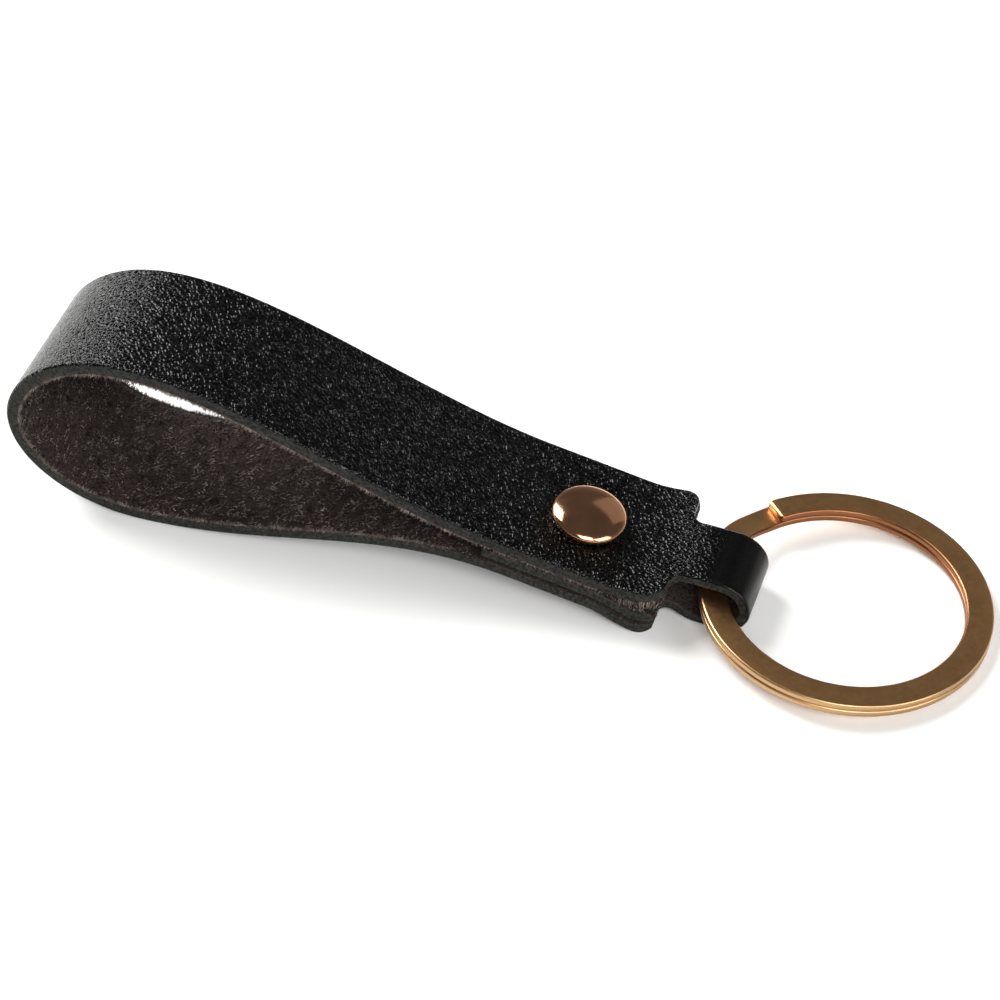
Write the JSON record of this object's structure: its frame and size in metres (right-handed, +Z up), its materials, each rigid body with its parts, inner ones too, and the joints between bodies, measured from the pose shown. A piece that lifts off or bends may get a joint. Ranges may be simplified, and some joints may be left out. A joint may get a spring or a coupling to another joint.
{
  "type": "leather keychain",
  "caption": "Leather strap folded into a finger loop and closed by a domed rivet, with a flat split ring hanging in its narrow end to carry keys.",
  "frame": {"origin": "on the table under the middle of the whole part's box", "axes": "+X along the strap from the finger loop toward the ring, +Y across the strap away from the picture's camera, +Z up from the table"},
  "size_m": [0.1026, 0.03, 0.0209],
  "materials": {
    "strap_leather": "black pebbled grain, matt with a slight sheen, suede back and dyed cut edges",
    "rivet_copper": "polished antique copper",
    "ring_bronze": "satin antique bronze plating"
  },
  "bodies": {
    "strap": {"strap": "strap_leather", "rivet_front_cap": "rivet_copper", "rivet_front_tube": "rivet_copper", "rivet_back_cap": "rivet_copper", "rivet_back_post": "rivet_copper"},
    "ring": {"split_ring": "ring_bronze"}
  },
  "joints": [
    {"name": "ring_swing", "type": "hinge", "parent": "strap", "child": "ring", "pos_m": [0.02322, -0.00161, 0.00319], "axis": [-0.1219, 0.9925, 0], "range_deg": [-130, 125]}
  ]
}
